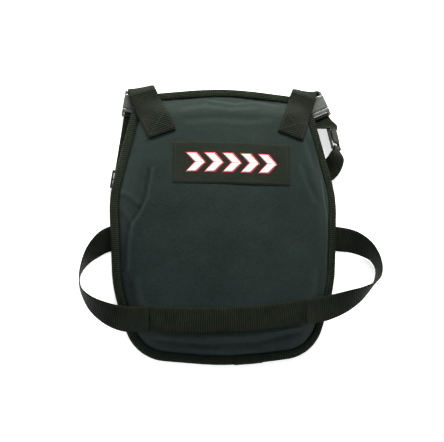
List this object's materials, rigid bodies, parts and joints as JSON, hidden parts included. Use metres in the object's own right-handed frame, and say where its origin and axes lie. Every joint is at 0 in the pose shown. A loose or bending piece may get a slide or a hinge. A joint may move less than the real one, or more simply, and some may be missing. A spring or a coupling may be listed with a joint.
{
  "type": "trainer belly pad",
  "caption": "Curved padded torso protector with taped rim, sewn badge, webbing tabs, shoulder adjusters and a buckled waist belt, lying on its back",
  "frame": {"origin": "On the floor face of the waist belt's rear run, on the pad's centre line, 15 mm above the middle of that run; the pad lies on its back", "axes": "+X across the pad to its left-hand side as worn, +Y towards the shoulder edge, +Z out of the front face, up from the floor"},
  "size_m": [0.4536, 0.426, 0.0721],
  "materials": {
    "cover": "woven nylon, charcoal with a slight blue-green tint, matt",
    "binding": "ribbed nylon tape, black",
    "webbing": "woven nylon webbing, black",
    "lining": "knitted lining, black",
    "foam": "closed-cell foam, grey",
    "dense_foam": "dense closed-cell foam, dark grey",
    "stiffener": "polyethylene sheet, natural",
    "patch": "tight twill, black",
    "emblem": "embroidery thread, off-white with a red border",
    "buckle": "moulded acetal, gloss black"
  },
  "bodies": {
    "pad": {"back_lining": "lining", "base_foam": "foam", "stiffener_sheet": "stiffener", "impact_foam": "dense_foam", "front_cover": "cover", "edge_binding": "binding", "badge_patch": "patch", "badge_emblem": "emblem", "belt_front": "webbing", "belt_left": "webbing", "belt_right": "webbing", "waist_socket": "buckle", "left_tab": "webbing", "right_tab": "webbing", "left_strap": "webbing", "right_strap": "webbing", "left_lock_loop": "webbing", "right_lock_loop": "webbing"},
    "waist_plug": {"waist_plug": "buckle"},
    "waist_arm_upper": {"waist_arm_upper": "buckle"},
    "waist_arm_lower": {"waist_arm_lower": "buckle"},
    "left_socket": {"left_socket": "buckle"},
    "left_plug": {"left_plug": "buckle"},
    "left_arm_upper": {"left_arm_upper": "buckle"},
    "left_arm_lower": {"left_arm_lower": "buckle"},
    "right_socket": {"right_socket": "buckle"},
    "right_plug": {"right_plug": "buckle"},
    "right_arm_upper": {"right_arm_upper": "buckle"},
    "right_arm_lower": {"right_arm_lower": "buckle"},
    "left_lock": {"left_lock": "buckle"},
    "right_lock": {"right_lock": "buckle"}
  },
  "joints": [
    {"name": "waist_plug_slide", "type": "slide", "parent": "pad", "child": "waist_plug", "axis": [1, 0, 0], "range_m": [0, 0.022], "deforming": ["belt_right"]},
    {"name": "waist_arm_upper_squeeze", "type": "hinge", "parent": "waist_plug", "child": "waist_arm_upper", "pos_m": [0.0605, -0.001, 0.0075], "axis": [0, 0, 1], "range_deg": [0, 6], "stiffness_Nm_per_rad": 0.03},
    {"name": "waist_arm_lower_squeeze", "type": "hinge", "parent": "waist_plug", "child": "waist_arm_lower", "pos_m": [0.0605, -0.029, 0.0075], "axis": [0, 0, -1], "range_deg": [0, 6], "stiffness_Nm_per_rad": 0.03},
    {"name": "left_socket_hinge", "type": "hinge", "parent": "pad", "child": "left_socket", "pos_m": [-0.127, 0.207, 0.0075], "axis": [0.9877, -0.1564, 0], "range_deg": [0, 40], "deforming": ["left_strap"]},
    {"name": "left_plug_slide", "type": "slide", "parent": "left_socket", "child": "left_plug", "axis": [-0.1564, -0.9877, 0], "range_m": [0, 0.022], "deforming": ["left_strap"]},
    {"name": "left_arm_upper_squeeze", "type": "hinge", "parent": "left_plug", "child": "left_arm_upper", "pos_m": [-0.11732, 0.17864, 0.0075], "axis": [0, 0, 1], "range_deg": [0, 6], "stiffness_Nm_per_rad": 0.03},
    {"name": "left_arm_lower_squeeze", "type": "hinge", "parent": "left_plug", "child": "left_arm_lower", "pos_m": [-0.14497, 0.18302, 0.0075], "axis": [0, 0, -1], "range_deg": [0, 6], "stiffness_Nm_per_rad": 0.03},
    {"name": "right_socket_hinge", "type": "hinge", "parent": "pad", "child": "right_socket", "pos_m": [0.137, 0.207, 0.0075], "axis": [0.9135, 0.4067, 0], "range_deg": [0, 40], "deforming": ["right_strap"]},
    {"name": "right_plug_slide", "type": "slide", "parent": "right_socket", "child": "right_plug", "axis": [0.4067, -0.9135, 0], "range_m": [0, 0.022], "deforming": ["right_strap"]},
    {"name": "right_arm_upper_squeeze", "type": "hinge", "parent": "right_plug", "child": "right_arm_upper", "pos_m": [0.16057, 0.18849, 0.0075], "axis": [0, 0, 1], "range_deg": [0, 6], "stiffness_Nm_per_rad": 0.03},
    {"name": "right_arm_lower_squeeze", "type": "hinge", "parent": "right_plug", "child": "right_arm_lower", "pos_m": [0.13499, 0.1771, 0.0075], "axis": [0, 0, -1], "range_deg": [0, 6], "stiffness_Nm_per_rad": 0.03},
    {"name": "left_lock_hinge", "type": "hinge", "parent": "pad", "child": "left_lock", "pos_m": [-0.15031, 0.05983, 0.0042], "axis": [-0.9877, 0.1564, 0], "range_deg": [0, 15], "deforming": ["left_strap"]},
    {"name": "right_lock_hinge", "type": "hinge", "parent": "pad", "child": "right_lock", "pos_m": [0.1765, 0.12426, 0.0225], "axis": [0.4891, 0.104, -0.866], "range_deg": [0, 15], "deforming": ["right_strap"]}
  ],
  "couplings": [
    {"joint": "waist_arm_lower_squeeze", "follows": "waist_arm_upper_squeeze", "ratio": 1},
    {"joint": "left_arm_lower_squeeze", "follows": "left_arm_upper_squeeze", "ratio": 1},
    {"joint": "right_arm_lower_squeeze", "follows": "right_arm_upper_squeeze", "ratio": 1}
  ]
}
